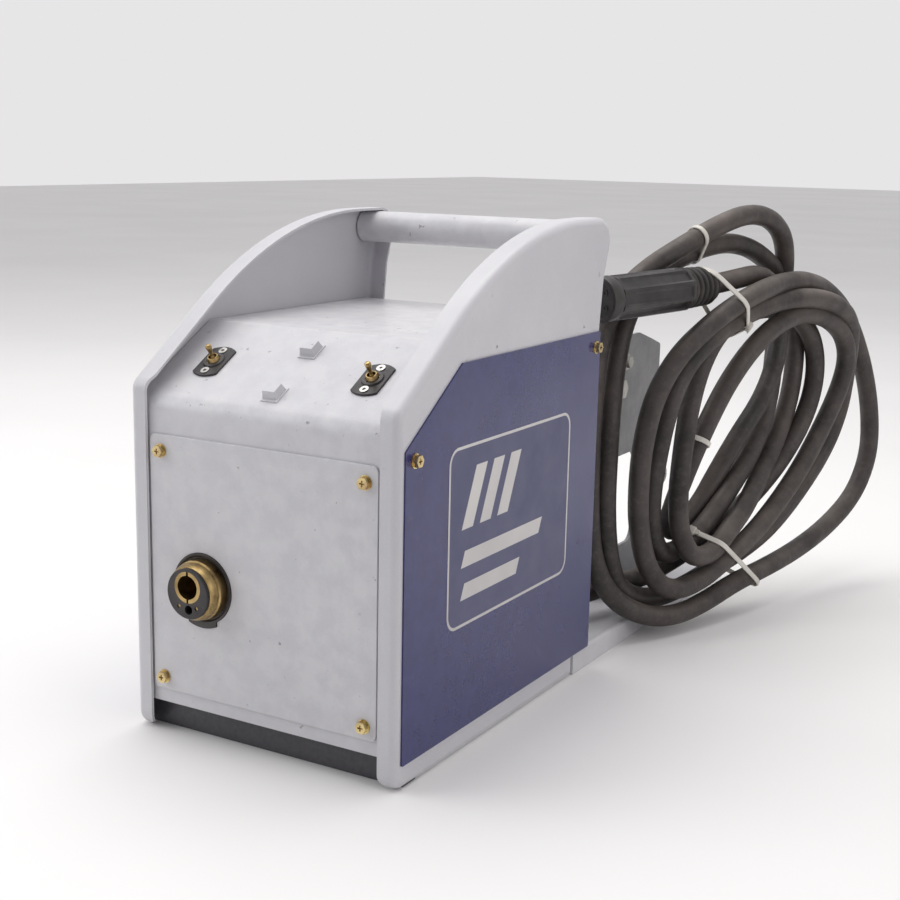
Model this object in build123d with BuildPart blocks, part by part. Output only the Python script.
from build123d import *
import math
import os

os.makedirs("parts", exist_ok=True)

# ---------------------------------------------------------------------------------------------
# Wire feeder for arc welding.  Millimetres, +Z up, +X right, the front looks along -Y.
# The origin is under the middle of the feeder, on the surface that it stands on.
# ---------------------------------------------------------------------------------------------

# Driving dimensions
WIDTH = 230.0
HEIGHT = 378.0
BASE_LENGTH = 620.0
CONNECTOR_REACH = 14.5          # how far the torch connector stands out of the side frames' front
HALF = WIDTH / 2
FRONT = -(BASE_LENGTH - CONNECTOR_REACH) / 2
FRAME_SHEET = 2.0
PANEL_SHEET = 1.6
PLATE = 3.0
GAP = 0.3                       # between neighbouring sheets


def back(distance):
    """The Y of a place that lies this far behind the front face of the side frames."""
    return FRONT + distance


def save(piece, name):
    piece.part.label = name
    export_step(piece.part, "parts/" + name + ".step")


def plan_yz(x):
    """A plane square to X, on which a sketch's axes are Y and Z."""
    return Plane.YZ.offset(x)


def plan_xz(y):
    """A plane square to Y that looks to the rear, on which a sketch's axes are -X and Z."""
    return Plane(origin=(0, y, 0), x_dir=(-1, 0, 0), z_dir=(0, 1, 0))


def along_x(x, y, z):
    """A plane at a point whose normal is +X."""
    return Plane(origin=(x, y, z), x_dir=(0, 1, 0), z_dir=(1, 0, 0))


def along_y(x, y, z):
    """A plane at a point whose normal is +Y, the way to the rear."""
    return Plane(origin=(x, y, z), x_dir=(-1, 0, 0), z_dir=(0, 1, 0))


# ---------------------------------------------------------------------------------------------
# Side frames: one sheet each, with a rim that turns inwards round the front, slope and rear
# ---------------------------------------------------------------------------------------------
BOX_REAR = 307.0                # rear edge of the box part
HORN_REAR = 321.5               # rear tip beside the handle
SLOPE_FOOT = 262.0              # height where the sloping edge would meet the front edge
SLOPE_TOP = (72.4, 314.2)       # where the sloping edge runs into the big arc
ARC_TOP = 270.0                 # where the big arc runs into the level top edge
RIM = 18.5
FRONT_RIM = 14.5
SLOPE_RIM = 17.8
RIM_BEND = 6.0
RIM_CORNER = 10.0
RIM_FOOT = 10.0                 # how far the front rim turns in under the foot
RAIL_END = 277.0                # the side frame's foot stops here and the base's rail goes on
BASE_TOP = 18.5
OPENING_INSET = 16.0
# the rear edge leans back in steps towards the tip beside the handle
REAR_BENDS = [(BOX_REAR, 285.0), (312.5, 330.0), (HORN_REAR, 356.0)]

COVER_OUTLINE = [(7.0, 18.0), (7.0, 236.7), (79.7, 287.1), (303.4, 287.1), (303.4, 19.5)]


def cover_points(inset=0.0):
    """Corner points of the side cover in Y and Z, drawn in by an equal distance on every side."""
    low, high = COVER_OUTLINE[0][1] + inset, COVER_OUTLINE[2][1] - inset
    front, rear = COVER_OUTLINE[0][0] + inset, COVER_OUTLINE[3][0] - inset
    return [
        (back(front), low),
        (back(front), COVER_OUTLINE[1][1] - 0.4 * inset),
        (back(COVER_OUTLINE[2][0] + 0.4 * inset), high),
        (back(rear), high),
        (back(rear), low),
    ]


def frame_outline():
    """Draws the closed outline of a side frame inside a BuildLine block."""
    foot = Line((back(0), 0), (back(RAIL_END), 0))
    notch = Polyline(foot @ 1, (back(RAIL_END), BASE_TOP + GAP), (back(BOX_REAR), BASE_TOP + GAP))
    rear = Polyline(
        notch @ 1,
        (back(BOX_REAR), REAR_BENDS[0][1]),
        *[(back(d), z) for d, z in REAR_BENDS[1:]],
        (back(HORN_REAR), HEIGHT),
    )
    top = Line(rear @ 1, (back(ARC_TOP), HEIGHT))
    slope_end = (back(SLOPE_TOP[0]), SLOPE_TOP[1])
    arc = TangentArc([top @ 1, slope_end], tangent=(-1, 0))
    slope = Line(arc @ 1, (back(0), SLOPE_FOOT))
    Line(slope @ 1, foot @ 0)


def frame_block(x, inset):
    """The side frame as a solid block from this X inwards, drawn in by inset, its outer edges rounded."""
    with BuildPart(mode=Mode.PRIVATE) as block:
        with BuildSketch(plan_yz(x)) as outline:
            with BuildLine():
                frame_outline()
            make_face()
            fillet(outline.vertices().sort_by_distance((back(0), SLOPE_FOOT))[0], 12)
            fillet(outline.vertices().sort_by_distance((back(HORN_REAR), HEIGHT))[0], 19)
            for (distance, height), radius in zip(REAR_BENDS, (60, 40, 10)):
                fillet(outline.vertices().sort_by_distance((back(distance), height))[0], radius)
            fillet(outline.vertices().sort_by_distance((back(0), 0))[0], 12)
            if inset > 0:
                offset(amount=-inset)
        extrude(amount=-RIM)
        fillet(block.faces().sort_by(Axis.X)[-1].edges(), RIM_BEND - inset)
    return block.part


with BuildPart() as side_frame_right:
    add(frame_block(HALF, 0))
    add(frame_block(HALF - FRAME_SHEET, FRAME_SHEET), mode=Mode.SUBTRACT)
    # no rim under the foot, and one up the front and slope that widens towards the arc
    with BuildSketch(plan_yz(HALF - FRAME_SHEET)):
        with Locations((back(RIM_FOOT + RAIL_END / 2), 9.6)):
            Rectangle(RAIL_END, 23.2)
        with Locations((back(163), 9.6)):
            Rectangle(300, 23.2)
    extrude(amount=-RIM, mode=Mode.SUBTRACT)
    with BuildSketch(Plane.XY.offset(-1)):
        with BuildLine():
            Polyline(
                (HALF - FRONT_RIM, back(-1)),
                (HALF - FRONT_RIM, back(1)),
                (HALF - SLOPE_RIM, back(9)),
                (HALF - RIM - 0.1, back(SLOPE_TOP[0])),
                (HALF - RIM - 1, back(-1)),
                close=True,
            )
        make_face()
    extrude(amount=HEIGHT, mode=Mode.SUBTRACT)
    # rounded lower corner of the front rim
    with BuildSketch(plan_xz(back(-1))):
        with Locations((-(HALF - FRONT_RIM), 0)):
            Rectangle(2 * RIM_CORNER, 2 * RIM_CORNER)
        with Locations((-(HALF - FRONT_RIM + RIM_CORNER), RIM_CORNER)):
            Circle(RIM_CORNER, mode=Mode.SUBTRACT)
        with Locations((-(HALF - FRONT_RIM + 2 * RIM_CORNER), 0)):
            Rectangle(2 * RIM_CORNER, 4 * RIM_CORNER, mode=Mode.SUBTRACT)
    extrude(amount=RIM_FOOT + 2, mode=Mode.SUBTRACT)
    # the side has a large opening behind its cover
    with BuildSketch(plan_yz(HALF + 1)):
        with BuildLine():
            Polyline(*cover_points(OPENING_INSET), close=True)
        make_face()
    extrude(amount=-2 * FRAME_SHEET, mode=Mode.SUBTRACT)
    # two small dimples above the cover
    with Locations(along_x(HALF, back(129.4), 293), along_x(HALF, back(273.8), 293)):
        Hole(1.2, depth=0.8)

LATCH_AT = (155.0, 26.5)
SHANK_R = 3.12
with BuildPart() as side_frame_left:
    mirror(side_frame_right.part, about=Plane.YZ)
    with Locations(along_x(-HALF, back(LATCH_AT[0]), LATCH_AT[1])):
        Hole(SHANK_R + 0.6, depth=5)

save(side_frame_right, "side_frame_right")
save(side_frame_left, "side_frame_left")

# ---------------------------------------------------------------------------------------------
# Base pan: an upside-down tray, narrow between the side frames and full width behind them
# ---------------------------------------------------------------------------------------------
INNER_HALF = HALF - FRAME_SHEET - GAP
BASE_SETBACK = 14.0

with BuildPart() as base_pan:
    with BuildSketch() as base_plan:
        with BuildLine():
            Polyline(
                (INNER_HALF, back(BASE_SETBACK)),
                (INNER_HALF, back(RAIL_END + GAP)),
                (HALF, back(RAIL_END + GAP)),
                (HALF, back(BASE_LENGTH)),
                (-HALF, back(BASE_LENGTH)),
                (-HALF, back(RAIL_END + GAP)),
                (-INNER_HALF, back(RAIL_END + GAP)),
                (-INNER_HALF, back(BASE_SETBACK)),
                close=True,
            )
        make_face()
        fillet(base_plan.vertices().group_by(Axis.Y)[-1], 10)
    extrude(amount=BASE_TOP)
    top_edges = base_pan.faces().sort_by(Axis.Z)[-1].edges()
    fillet([edge for edge in top_edges if edge.center().Y > back(RAIL_END + 1)], 3)
    offset(amount=-FRAME_SHEET, openings=base_pan.faces().sort_by(Axis.Z)[0])
save(base_pan, "base_pan")

FOOT_HIGH = BASE_TOP - FRAME_SHEET
with BuildPart() as rubber_feet:
    with Locations(
        (-85, back(45), 0), (85, back(45), 0), (-85, back(585), 0), (85, back(585), 0)
    ):
        Cone(13, 11, FOOT_HIGH, align=(Align.CENTER, Align.CENTER, Align.MIN))
save(rubber_feet, "rubber_feet")

# ---------------------------------------------------------------------------------------------
# Front, slope and flat top: one bent sheet
# ---------------------------------------------------------------------------------------------
PANEL_FACE = 4.0                # front panel's face, behind the side frames' face
PANEL_FOOT = 22.5
SLOPE_ANGLE = 29.96
SLOPE_START = (3.0, 250.0)
TOP_LEVEL = 299.0
TOP_REAR = 300.0
FRONT_BEND = 15.0
SLOPE_RISE = math.tan(math.radians(SLOPE_ANGLE))
PANEL_HALF = HALF - FRAME_SHEET - 1.0

slope_plane = Plane(
    origin=(0, back(SLOPE_START[0]), SLOPE_START[1]),
    x_dir=(1, 0, 0),
    z_dir=(0, -math.sin(math.radians(SLOPE_ANGLE)), math.cos(math.radians(SLOPE_ANGLE))),
)

SWITCH_X = (-73.0, 65.3)
SWITCH_UP = 48.7                # distance of the switches' middles up the slope
CAP_X = -1.3
CAP_UP = (22.0, 72.5)
CAP_HOLE = 10.0
SWITCH_HOLE = 5.4

CONNECTOR_X = -51.8
CONNECTOR_Z = 117.0
CONNECTOR_HOLE = 26.5
KEY_HALF = 13.0
KEY_RADIUS = 29.8

front_corner = (back(PANEL_FACE), SLOPE_START[1] + (PANEL_FACE - SLOPE_START[0]) * SLOPE_RISE)
top_corner = (back(SLOPE_START[0] + (TOP_LEVEL - SLOPE_START[1]) / SLOPE_RISE), TOP_LEVEL)

with BuildPart() as top_panel:
    with BuildSketch(plan_yz(-PANEL_HALF)):
        with BuildLine() as bent:
            FilletPolyline(
                (back(PANEL_FACE), PANEL_FOOT),
                front_corner,
                top_corner,
                (back(TOP_REAR), TOP_LEVEL),
                radius=[FRONT_BEND, 6],
            )
            offset(amount=PANEL_SHEET, side=Side.RIGHT)
        make_face()
    extrude(amount=2 * PANEL_HALF)
    fillet(top_panel.edges().filter_by(Axis.Y).group_by(Axis.Z)[0], 8)
    with Locations(along_y(CONNECTOR_X, back(PANEL_FACE), CONNECTOR_Z)):
        Hole(24, depth=10)
    with Locations(slope_plane):
        with Locations((SWITCH_X[0], SWITCH_UP), (SWITCH_X[1], SWITCH_UP)):
            Hole(SWITCH_HOLE + 1.2, depth=10)
    with BuildSketch(slope_plane):
        with Locations((CAP_X, CAP_UP[0]), (CAP_X, CAP_UP[1])):
            Rectangle(CAP_HOLE, CAP_HOLE)
    extrude(amount=-10, mode=Mode.SUBTRACT)
save(top_panel, "top_panel")

# Front cover plate, screwed on the front panel
COVER_SHEET = 1.6
PLATE_X = (-98.9, 98.0)
PLATE_Z = (33.0, 226.0)
SCREW_INSET_X = 10.1
SCREW_Z = (43.0, 214.0)
plate_mid = (sum(PLATE_X) / 2, sum(PLATE_Z) / 2)
screw_columns = (PLATE_X[0] + SCREW_INSET_X, PLATE_X[1] - SCREW_INSET_X)
front_screw_at = [(x, z) for x in screw_columns for z in SCREW_Z]


def key_profile(radius, key_radius, key_half):
    """A round outline with a wider sector at the bottom, drawn in a sketch with axes -X and Z."""
    Circle(radius)
    with BuildSketch(mode=Mode.PRIVATE) as tab:
        Circle(key_radius)
        with Locations((0, -key_radius)):
            Rectangle(2 * key_half, 1.3 * key_radius, mode=Mode.INTERSECT)
    add(tab.sketch)


with BuildPart() as front_cover:
    with BuildSketch(plan_xz(back(PANEL_FACE))):
        with Locations((-plate_mid[0], plate_mid[1])):
            RectangleRounded(PLATE_X[1] - PLATE_X[0], PLATE_Z[1] - PLATE_Z[0], 5)
    extrude(amount=-COVER_SHEET)
    chamfer(front_cover.faces().sort_by(Axis.Y)[0].edges(), 0.4)
    with BuildSketch(along_y(CONNECTOR_X, back(PANEL_FACE), CONNECTOR_Z)):
        key_profile(CONNECTOR_HOLE, KEY_RADIUS, KEY_HALF)
    extrude(amount=-COVER_SHEET - 1, mode=Mode.SUBTRACT)
    with Locations(*[along_y(x, back(PANEL_FACE), z) for x, z in front_screw_at]):
        Hole(2.7, depth=5)
save(front_cover, "front_cover")


def sems_screw(plane):
    """Hexagon head screw with a cross recess and captive washers; the plane lies on the sheet, normal outwards."""
    with BuildPart(mode=Mode.PRIVATE) as screw:
        with BuildSketch(plane):
            Circle(5.2)
        extrude(amount=0.9)
        with BuildSketch(plane.offset(0.9)):
            Circle(4.3)
        extrude(amount=0.6)
        with BuildSketch(plane.offset(1.5)):
            RegularPolygon(4.5, 6)
        extrude(amount=3.0)
        with BuildSketch(plane.offset(4.5)):
            Rectangle(4.2, 1.1)
            Rectangle(1.1, 4.2)
        extrude(amount=-1.4, mode=Mode.SUBTRACT)
        with BuildSketch(plane):
            Circle(2.4)
        extrude(amount=-1.2)
    return screw.part


HEAD_REACH = 4.5

# ---------------------------------------------------------------------------------------------
# Blue covers: fixed one on the right, hinged door on the left
# ---------------------------------------------------------------------------------------------
SIDE_COVER_SHEET = 1.2
SIDE_SCREWS = [(18.2, 229.5), (295.6, 274.6)]

with BuildPart() as side_cover_right:
    with BuildSketch(plan_yz(HALF)) as side_outline:
        with BuildLine():
            Polyline(*cover_points(), close=True)
        make_face()
        fillet(side_outline.vertices(), 1.5)
    extrude(amount=SIDE_COVER_SHEET)
    with Locations(*[along_x(HALF, back(y), z) for y, z in SIDE_SCREWS]):
        Hole(2.7, depth=5)
save(side_cover_right, "side_cover_right")

with BuildPart() as cover_screws:
    for x, z in front_screw_at:
        face = Plane(origin=(x, back(PANEL_FACE - COVER_SHEET), z), x_dir=(1, 0, 0), z_dir=(0, -1, 0))
        add(sems_screw(face))
    for y, z in SIDE_SCREWS:
        add(sems_screw(along_x(HALF + SIDE_COVER_SHEET, back(y), z)))
save(cover_screws, "cover_screws")

# The left door hangs on two hinges at its top edge and turns about their pins
DOOR_OUT = 0.3                  # clear of the side frame
HINGE_R = 2.2
HINGE_X = -(HALF + SIDE_COVER_SHEET + HEAD_REACH - HINGE_R)
HINGE_Z = 290.5
HINGE_AT = (125.0, 255.0)
KNUCKLE = 10.0
PIN_R = 1.1
PIN_FIT = 0.05
LATCH_R = 8.0
door_face = -(HALF + DOOR_OUT)

with BuildPart() as left_door:
    with BuildSketch(plan_yz(door_face)) as door_outline:
        with BuildLine():
            Polyline(*cover_points(), close=True)
        make_face()
        fillet(door_outline.vertices(), 1.5)
    extrude(amount=-SIDE_COVER_SHEET)
    with Locations(along_x(door_face, back(LATCH_AT[0]), LATCH_AT[1])):
        Hole(SHANK_R + 0.08, depth=5)
    # an ear and an outer knuckle pair at each hinge
    for y in HINGE_AT:
        for side in (-1, 1):
            ear = (back(y) + side * KNUCKLE, 0)
            with BuildSketch(Plane.XZ.offset(-ear[0] + KNUCKLE / 2)):
                with BuildLine():
                    Polyline(
                        (door_face - SIDE_COVER_SHEET, COVER_OUTLINE[2][1] - 6),
                        (door_face - 0.2, COVER_OUTLINE[2][1] - 6),
                        (door_face - 0.2, COVER_OUTLINE[2][1]),
                        (HINGE_X + 1.4, HINGE_Z - 0.5),
                        (HINGE_X - 1.4, HINGE_Z - 0.5),
                        close=True,
                    )
                make_face()
                with Locations((HINGE_X, HINGE_Z)):
                    Circle(HINGE_R)
            extrude(amount=-(KNUCKLE - 0.6))
        with BuildSketch(Plane.XZ.offset(-(back(y) - 1.5 * KNUCKLE))):
            with Locations((HINGE_X, HINGE_Z)):
                Circle(PIN_R + PIN_FIT)
        extrude(amount=-3 * KNUCKLE, mode=Mode.SUBTRACT)
save(left_door, "left_door")

with BuildPart() as door_hinges:
    for y in HINGE_AT:
        # leaf on the side frame above the door, its knuckle between the door's, and the pin
        with BuildSketch(Plane.XZ.offset(-(back(y) - KNUCKLE / 2 + 0.6))):
            with BuildLine():
                Polyline(
                    (-HALF, HINGE_Z + 14),
                    (-HALF - 1.2, HINGE_Z + 14),
                    (-HALF - 1.2, HINGE_Z + 3.0),
                    (HINGE_X, HINGE_Z + 1.5),
                    (HINGE_X, HINGE_Z - 0.4),
                    (-HALF - 1.6, HINGE_Z - 0.4),
                    (-HALF, HINGE_Z + 1.0),
                    close=True,
                )
            make_face()
            with Locations((HINGE_X, HINGE_Z)):
                Circle(HINGE_R)
        extrude(amount=-(KNUCKLE - 1.2))
        with BuildSketch(Plane.XZ.offset(-(back(y) - 1.5 * KNUCKLE))):
            with Locations((HINGE_X, HINGE_Z)):
                Circle(PIN_R)
        extrude(amount=-3 * KNUCKLE)
save(door_hinges, "door_hinges")

# Quarter-turn latch in the door: slotted head outside, plain shank through the side frame's foot
with BuildPart() as door_latch:
    latch_face = Plane(
        origin=(door_face - SIDE_COVER_SHEET - GAP, back(LATCH_AT[0]), LATCH_AT[1]),
        x_dir=(0, -1, 0),
        z_dir=(-1, 0, 0),
    )
    with BuildSketch(latch_face):
        Circle(LATCH_R)
    extrude(amount=HEAD_REACH - DOOR_OUT - 2 * GAP)
    chamfer(door_latch.faces().sort_by(Axis.X)[0].edges(), 0.8)
    with BuildSketch(latch_face.offset(HEAD_REACH - DOOR_OUT - 2 * GAP)):
        Rectangle(11, 1.8)
    extrude(amount=-1.8, mode=Mode.SUBTRACT)
    with BuildSketch(latch_face):
        Circle(SHANK_R)
    extrude(amount=-(SIDE_COVER_SHEET + 2 * GAP + DOOR_OUT + FRAME_SHEET + 2))
save(door_latch, "door_latch")

# ---------------------------------------------------------------------------------------------
# Torch connector on the front
# ---------------------------------------------------------------------------------------------
INSULATOR_FRONT = 1.4
INSULATOR_REAR = 26.0
CORE_R = 17.6
SOCKET_UP = 4.8
SOCKET_R = 11.6
BORE_R = 8.75
CORE_CAP = 2.0
WIRE_Z = CONNECTOR_Z + SOCKET_UP


def connector_plane(distance):
    """A plane square to the connector's axis, seen from the front; its axes are X and Z."""
    return Plane(origin=(CONNECTOR_X, back(distance), CONNECTOR_Z), x_dir=(1, 0, 0), z_dir=(0, -1, 0))


with BuildPart() as connector_insulator:
    with BuildSketch(connector_plane(PANEL_FACE)):
        key_profile(CONNECTOR_HOLE - 0.3, KEY_RADIUS - 0.3, KEY_HALF - 0.3)
    extrude(amount=PANEL_FACE - INSULATOR_FRONT)
    with BuildSketch(connector_plane(PANEL_FACE)):
        Circle(23.7)
    extrude(amount=-(INSULATOR_REAR - PANEL_FACE))
    with BuildSketch(connector_plane(INSULATOR_FRONT)):
        Circle(24.6)
    extrude(amount=-1.2, taper=45, mode=Mode.SUBTRACT)
    with BuildSketch(connector_plane(INSULATOR_FRONT)):
        Circle(22.2)
    extrude(amount=-3.0, mode=Mode.SUBTRACT)
    with BuildSketch(connector_plane(INSULATOR_FRONT)):
        Circle(CORE_R + 0.2)
    extrude(amount=-40, mode=Mode.SUBTRACT)
save(connector_insulator, "connector_insulator")

COLLAR_TIP = -(CONNECTOR_REACH - CORE_CAP) + 0.1
collar_side = Plane(origin=(CONNECTOR_X, back(0), CONNECTOR_Z), x_dir=(1, 0, 0), z_dir=(0, 0, 1))
with BuildPart() as connector_collar:
    with BuildSketch(collar_side):
        with BuildLine():
            outer = Polyline((CORE_R + 0.1, 4.2), (22.0, 4.2), (22.0, -4.0), (21.0, -5.2), (21.3, -6.2))
            crown = ThreePointArc(outer @ 1, (20.6, -9.4), (19.0, COLLAR_TIP))
            Polyline(crown @ 1, (CORE_R + 0.1, COLLAR_TIP), (CORE_R + 0.1, 4.2))
        make_face()
    revolve(axis=Axis((CONNECTOR_X, back(0), CONNECTOR_Z), (0, 1, 0)))
save(connector_collar, "connector_collar")

GAS_HOLE = (0.9, -11.6, 3.4)
PIN_AT = [(-7.9, -10.0), (7.9, -9.6)]
CONTACT_R = 1.4
with BuildPart() as connector_core:
    with BuildSketch(connector_plane(-(CONNECTOR_REACH - CORE_CAP))):
        Circle(18.6)
    extrude(amount=CORE_CAP)
    fillet(connector_core.faces().sort_by(Axis.Y)[0].edges(), 0.7)
    with BuildSketch(connector_plane(-(CONNECTOR_REACH - CORE_CAP))):
        Circle(CORE_R)
    extrude(amount=-(CONNECTOR_REACH - CORE_CAP + INSULATOR_REAR))
    with BuildSketch(connector_plane(-CONNECTOR_REACH)):
        with Locations((0, SOCKET_UP)):
            Circle(SOCKET_R + 0.1)
    extrude(amount=-60, mode=Mode.SUBTRACT)
    with BuildSketch(connector_plane(-CONNECTOR_REACH)):
        with Locations((GAS_HOLE[0], GAS_HOLE[1])):
            Circle(GAS_HOLE[2])
        with Locations(*PIN_AT):
            Circle(CONTACT_R + 0.05)
    extrude(amount=-16, mode=Mode.SUBTRACT)
save(connector_core, "connector_core")

BLOCK_REAR = 56.0
BLOCK_HALF = 17.0
GUIDE_BORE = 6.5
with BuildPart() as connector_socket:
    # split contact tube in the core and, behind the panel, the brass block that it belongs to
    with BuildSketch(connector_plane(-CONNECTOR_REACH)):
        with Locations((0, SOCKET_UP)):
            Circle(SOCKET_R)
            Circle(BORE_R, mode=Mode.SUBTRACT)
    extrude(amount=-(CONNECTOR_REACH + INSULATOR_REAR))
    with BuildSketch(connector_plane(-CONNECTOR_REACH)):
        with Locations((0, SOCKET_UP)):
            Rectangle(1.6, 30)
    extrude(amount=-14, mode=Mode.SUBTRACT)
    with BuildSketch(connector_plane(INSULATOR_REAR)):
        RectangleRounded(2 * BLOCK_HALF, 2 * BLOCK_HALF, 2)
    extrude(amount=-(BLOCK_REAR - INSULATOR_REAR))
    with BuildSketch(connector_plane(INSULATOR_REAR - 1)):
        with Locations((0, SOCKET_UP)):
            Circle(GUIDE_BORE)
    extrude(amount=-40, mode=Mode.SUBTRACT)
save(connector_socket, "connector_socket")

with BuildPart() as connector_pins:
    with BuildSketch(connector_plane(-CONNECTOR_REACH + 0.8)):
        with Locations(*PIN_AT):
            Circle(CONTACT_R)
    extrude(amount=-15)
save(connector_pins, "connector_pins")

# ---------------------------------------------------------------------------------------------
# Toggle switches and blanking caps on the slope
# ---------------------------------------------------------------------------------------------
SWITCH_WIDE = 21.5
SWITCH_LONG = 34.5
SWITCH_PLATE = 1.6
BOSS_R = 8.4
BOSS_H = 1.2
NECK_R = 4.9
NECK_H = 5.6
RIVET_PITCH = 24.0
LEVER_LONG = 16.0


def on_slope(x, up, out=0.0):
    """A plane on the sloping panel, its normal pointing out of the panel."""
    return Plane(
        origin=slope_plane.from_local_coords((x, up, out)),
        x_dir=slope_plane.x_dir,
        z_dir=slope_plane.z_dir,
    )


def switch_plate(x):
    with BuildPart(mode=Mode.PRIVATE) as plate:
        with BuildSketch(on_slope(x, SWITCH_UP)):
            Rectangle(SWITCH_WIDE, SWITCH_LONG + 4)
            Circle(SWITCH_LONG / 2, mode=Mode.INTERSECT)
        extrude(amount=SWITCH_PLATE)
        fillet(plate.faces().sort_by(Axis((0, 0, 0), slope_plane.z_dir))[-1].edges(), 0.5)
        with BuildSketch(on_slope(x, SWITCH_UP, SWITCH_PLATE)):
            Circle(BOSS_R)
        extrude(amount=BOSS_H, taper=25)
        with BuildSketch(on_slope(x, SWITCH_UP)):
            Circle(SWITCH_HOLE)
            with Locations((0, RIVET_PITCH / 2), (0, -RIVET_PITCH / 2)):
                Circle(2.0)
        extrude(amount=SWITCH_PLATE + BOSS_H + 1, mode=Mode.SUBTRACT)
    return plate.part


def switch_body(x):
    """Case under the panel and a hollow neck, narrowing upwards, in which the lever's ball sits."""
    with BuildPart(mode=Mode.PRIVATE) as body:
        with BuildSketch(on_slope(x, SWITCH_UP, -PANEL_SHEET - 0.2)):
            RectangleRounded(13, 26, 1)
        extrude(amount=-22)
        with BuildSketch(on_slope(x, SWITCH_UP, -PANEL_SHEET - 0.2)):
            Circle(SWITCH_HOLE - 0.1)
        extrude(amount=PANEL_SHEET + SWITCH_PLATE + 0.3)
        with BuildSketch(on_slope(x, SWITCH_UP, SWITCH_PLATE)):
            Circle(NECK_R)
        extrude(amount=NECK_H - SWITCH_PLATE, taper=14)
        with BuildSketch(on_slope(x, SWITCH_UP, NECK_H + 1)):
            Circle(3.3)
        extrude(amount=-NECK_H - 5, mode=Mode.SUBTRACT)
        with BuildSketch(on_slope(x, SWITCH_UP, -26)):
            with Locations((0, -8), (0, 0), (0, 8)):
                Rectangle(5, 0.9)
        extrude(amount=3)
    return body.part


def switch_lever(x):
    """Bat lever: cone at the neck, slim shank, round tip, and the pivot ball inside the body."""
    pivot = on_slope(x, SWITCH_UP, 0)
    side = Plane(origin=pivot.origin, x_dir=(1, 0, 0), z_dir=-pivot.y_dir)
    with BuildPart(mode=Mode.PRIVATE) as lever:
        with BuildSketch(side):
            with BuildLine():
                Polyline(
                    (0, -2.6),
                    (2.0, -2.6),
                    (2.6, 0),
                    (2.5, 2.6),
                    (1.3, 6.2),
                    (1.4, 9.0),
                    (2.1, 12.0),
                    (2.4, 13.6),
                    (2.3, 14.8),
                    (1.5, LEVER_LONG - 0.3),
                    (0, LEVER_LONG),
                    close=True,
                )
            make_face()
        revolve(axis=Axis(pivot.origin, pivot.z_dir))
    return lever.part


def eyelet(plane):
    with BuildPart(mode=Mode.PRIVATE) as ring:
        with BuildSketch(plane):
            Circle(3.3)
            Circle(1.3, mode=Mode.SUBTRACT)
        extrude(amount=0.7)
        with BuildSketch(plane):
            Circle(1.9)
            Circle(1.3, mode=Mode.SUBTRACT)
        extrude(amount=-1.4)
    return ring.part


with BuildPart() as switch_plates:
    for x in SWITCH_X:
        add(switch_plate(x))
save(switch_plates, "switch_plates")
with BuildPart() as switch_bodies:
    for x in SWITCH_X:
        add(switch_body(x))
save(switch_bodies, "switch_bodies")
with BuildPart() as left_switch_lever:
    add(switch_lever(SWITCH_X[0]))
save(left_switch_lever, "left_switch_lever")
with BuildPart() as right_switch_lever:
    add(switch_lever(SWITCH_X[1]))
save(right_switch_lever, "right_switch_lever")

with BuildPart() as switch_eyelets:
    for x in SWITCH_X:
        for step in (-RIVET_PITCH / 2, RIVET_PITCH / 2):
            add(eyelet(on_slope(x, SWITCH_UP + step, SWITCH_PLATE)))
save(switch_eyelets, "switch_eyelets")

CAP_FLANGE = (15.0, 17.0)
CAP_HIGH = 6.6
with BuildPart() as blanking_caps:
    for up in CAP_UP:
        with BuildSketch(on_slope(CAP_X, up)):
            RectangleRounded(*CAP_FLANGE, 1)
        extrude(amount=0.8)
        with BuildSketch(on_slope(CAP_X, up, 0.8)):
            Rectangle(12.6, 12.2)
        extrude(amount=CAP_HIGH - 0.8, taper=12)
        with BuildSketch(on_slope(CAP_X, up)):
            Rectangle(CAP_HOLE - 0.4, CAP_HOLE - 0.4)
        extrude(amount=-4)
save(blanking_caps, "blanking_caps")

# ---------------------------------------------------------------------------------------------
# Carry handle between the side frames
# ---------------------------------------------------------------------------------------------
HANDLE_R = 13.3
HANDLE_AT = (300.0, 361.8)
HANDLE_HALF = 111.5
with BuildPart() as carry_handle:
    with BuildSketch(along_x(-HANDLE_HALF, back(HANDLE_AT[0]), HANDLE_AT[1])):
        Circle(HANDLE_R)
        Circle(HANDLE_R - 2.3, mode=Mode.SUBTRACT)
    extrude(amount=2 * HANDLE_HALF)
save(carry_handle, "carry_handle")

# ---------------------------------------------------------------------------------------------
# Rear bulkhead and what is fixed on it
# ---------------------------------------------------------------------------------------------
BULKHEAD = 298.0
BULKHEAD_SHEET = 2.0
BULKHEAD_HALF = 109.0
GLAND_AT = (75.0, 41.2)
NIPPLE_AT = (20.0, 60.0)
RECEPTACLE_AT = (50.0, 110.0)
GLAND_R = 12.0
CABLE_R = 9.3

with BuildPart() as rear_bulkhead:
    with BuildSketch(Plane.XZ.offset(-back(BULKHEAD))):
        with Locations((0, (BASE_TOP + TOP_LEVEL - PANEL_SHEET) / 2)):
            Rectangle(2 * BULKHEAD_HALF, TOP_LEVEL - PANEL_SHEET - BASE_TOP - 0.2)
    extrude(amount=-BULKHEAD_SHEET)
    with BuildSketch(Plane.XZ.offset(-back(BULKHEAD - 1))):
        with Locations((CONNECTOR_X, WIRE_Z)):
            Circle(7.2)
        with Locations(GLAND_AT):
            Circle(GLAND_R)
        with Locations(NIPPLE_AT):
            Circle(5.0)
        with Locations(RECEPTACLE_AT):
            Circle(12.0)
    extrude(amount=-5, mode=Mode.SUBTRACT)
save(rear_bulkhead, "rear_bulkhead")

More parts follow.
